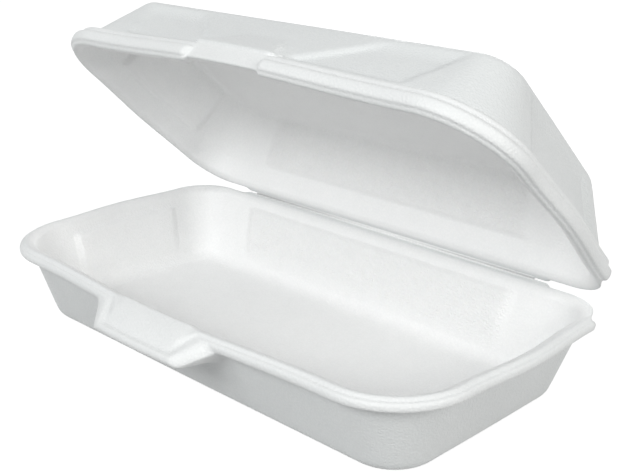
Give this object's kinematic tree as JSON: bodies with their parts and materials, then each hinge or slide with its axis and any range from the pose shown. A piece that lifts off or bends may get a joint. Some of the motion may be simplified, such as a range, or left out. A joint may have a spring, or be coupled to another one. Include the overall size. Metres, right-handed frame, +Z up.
{
  "type": "foam clamshell container",
  "caption": "Long white foam meal container with a sloped tray, a front closing tongue and a matching lid on a fold along the long back edge.",
  "frame": {"origin": "middle of the tray's flat underside, on the table", "axes": "+X along the length, -Y towards the tongue at the front, +Y towards the hinge, +Z up"},
  "size_m": [0.2498, 0.1524, 0.1369],
  "materials": {
    "foam": "white extruded foam with a satin pressed skin and fine mottled cells"
  },
  "bodies": {
    "tray": {"tray": "foam"},
    "lid": {"lid": "foam"}
  },
  "joints": [
    {"name": "lid_hinge", "type": "hinge", "parent": "tray", "child": "lid", "pos_m": [0, 0.0641, 0.0367], "axis": [-1, 0, 0], "range_deg": [-43, 132]}
  ]
}
